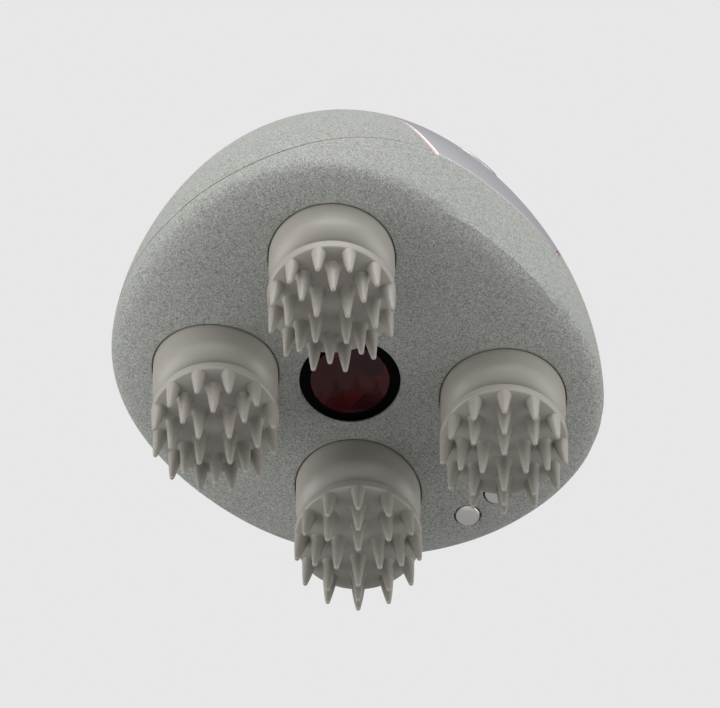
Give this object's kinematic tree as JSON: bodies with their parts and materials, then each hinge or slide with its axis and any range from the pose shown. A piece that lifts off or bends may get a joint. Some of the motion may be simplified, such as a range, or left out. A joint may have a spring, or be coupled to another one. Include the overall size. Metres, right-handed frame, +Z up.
{
  "type": "electric scalp massager",
  "caption": "Hand-held scalp massager: a speckled dome on turning soft spiked heads round a red light window, with a silver panel and buttons and contacts for charging.",
  "frame": {"origin": "centre of the footprint, on the plane that the longest spike tips rest on", "axes": "+Z up through the dome, -Y towards the silver panel at the front, +X towards the side with the charging contacts"},
  "size_m": [0.1124, 0.1, 0.0903],
  "materials": {
    "speckled_shell": "fine stone-like speckle, satin",
    "silver_panel": "glossy silver",
    "rose_trim": "satin rose",
    "silver_button": "satin silver",
    "silicone": "smooth soft silicone",
    "black_gloss": "glossy black",
    "red_lens": "dark red, clear",
    "bright_cup": "facetted bright cup",
    "contact_metal": "plated",
    "circuit_board": "green board",
    "dark_plastic": "moulded",
    "gasket": "soft rubber",
    "steel": "bright",
    "brass": "turned",
    "gear_plastic": "natural acetal",
    "motor_can": "drawn can",
    "battery_wrap": "foil wrap"
  },
  "bodies": {
    "housing": {"lower_shell": "speckled_shell", "upper_shell": "speckled_shell", "control_panel": "silver_panel", "panel_trim": "rose_trim", "power_switch": "dark_plastic", "light_switch": "dark_plastic", "control_board": "circuit_board", "shell_seal": "gasket", "window_ring": "black_gloss", "window_lens": "red_lens", "reflector": "bright_cup", "led_board": "circuit_board", "charge_contacts": "contact_metal", "contact_board": "circuit_board", "gearbox_plate": "dark_plastic", "gearbox_cover": "dark_plastic", "gear_axles": "steel", "gearbox_screws": "steel", "case_screws": "steel", "motor": "motor_can", "battery_tray": "dark_plastic", "battery": "battery_wrap", "main_board": "circuit_board", "boot_front_left": "silicone", "boot_front_right": "silicone", "boot_rear_left": "silicone", "boot_rear_right": "silicone", "shaft_bush_front_left": "brass", "shaft_bush_front_right": "brass", "shaft_bush_rear_left": "brass", "shaft_bush_rear_right": "brass", "shaft_seal_front_left": "gasket", "shaft_seal_front_right": "gasket", "shaft_seal_rear_left": "gasket", "shaft_seal_rear_right": "gasket"},
    "sun": {"sun_gear": "gear_plastic"},
    "reduction": {"reduction_gear": "gear_plastic"},
    "rotor": {"motor_pinion": "brass", "motor_shaft": "steel"},
    "head_front_left": {"massage_pad_front_left": "silicone", "head_core_front_left": "dark_plastic", "drive_shaft_front_left": "steel", "output_gear_front_left": "gear_plastic"},
    "head_front_right": {"massage_pad_front_right": "silicone", "head_core_front_right": "dark_plastic", "drive_shaft_front_right": "steel", "output_gear_front_right": "gear_plastic"},
    "head_rear_left": {"massage_pad_rear_left": "silicone", "head_core_rear_left": "dark_plastic", "drive_shaft_rear_left": "steel", "output_gear_rear_left": "gear_plastic"},
    "head_rear_right": {"massage_pad_rear_right": "silicone", "head_core_rear_right": "dark_plastic", "drive_shaft_rear_right": "steel", "output_gear_rear_right": "gear_plastic"},
    "power_key": {"power_button": "silver_button"},
    "light_key": {"light_button": "silver_button"}
  },
  "joints": [
    {"name": "sun_spin", "type": "hinge", "parent": "housing", "child": "sun", "pos_m": [0, -0.0048, 0.042], "axis": [0, 0, 1], "continuous": true},
    {"name": "reduction_spin", "type": "hinge", "parent": "housing", "child": "reduction", "pos_m": [0, -0.03, 0.042], "axis": [0, 0, 1], "continuous": true},
    {"name": "rotor_spin", "type": "hinge", "parent": "housing", "child": "rotor", "pos_m": [0, -0.0144, 0.047], "axis": [0, 0, 1], "continuous": true},
    {"name": "front_left_spin", "type": "hinge", "parent": "housing", "child": "head_front_left", "pos_m": [-0.027, -0.02271, 0.042], "axis": [0, 0, 1], "continuous": true},
    {"name": "front_right_spin", "type": "hinge", "parent": "housing", "child": "head_front_right", "pos_m": [0.027, -0.02271, 0.042], "axis": [0, 0, 1], "continuous": true},
    {"name": "rear_left_spin", "type": "hinge", "parent": "housing", "child": "head_rear_left", "pos_m": [-0.0225, 0.01851, 0.042], "axis": [0, 0, 1], "continuous": true},
    {"name": "rear_right_spin", "type": "hinge", "parent": "housing", "child": "head_rear_right", "pos_m": [0.0225, 0.01851, 0.042], "axis": [0, 0, 1], "continuous": true},
    {"name": "power_press", "type": "slide", "parent": "housing", "child": "power_key", "axis": [0, 0.6428, -0.766], "range_m": [0, 0.0006], "stiffness_N_per_m": 1500, "springref_m": -0.0004},
    {"name": "light_press", "type": "slide", "parent": "housing", "child": "light_key", "axis": [0, 0.6428, -0.766], "range_m": [0, 0.0006], "stiffness_N_per_m": 1500, "springref_m": -0.0004}
  ],
  "couplings": [
    {"joint": "reduction_spin", "follows": "sun_spin", "ratio": -3},
    {"joint": "rotor_spin", "follows": "sun_spin", "ratio": 10},
    {"joint": "front_left_spin", "follows": "sun_spin", "ratio": -1.4},
    {"joint": "front_right_spin", "follows": "sun_spin", "ratio": -1.4},
    {"joint": "rear_left_spin", "follows": "sun_spin", "ratio": -1.4},
    {"joint": "rear_right_spin", "follows": "sun_spin", "ratio": -1.4}
  ]
}
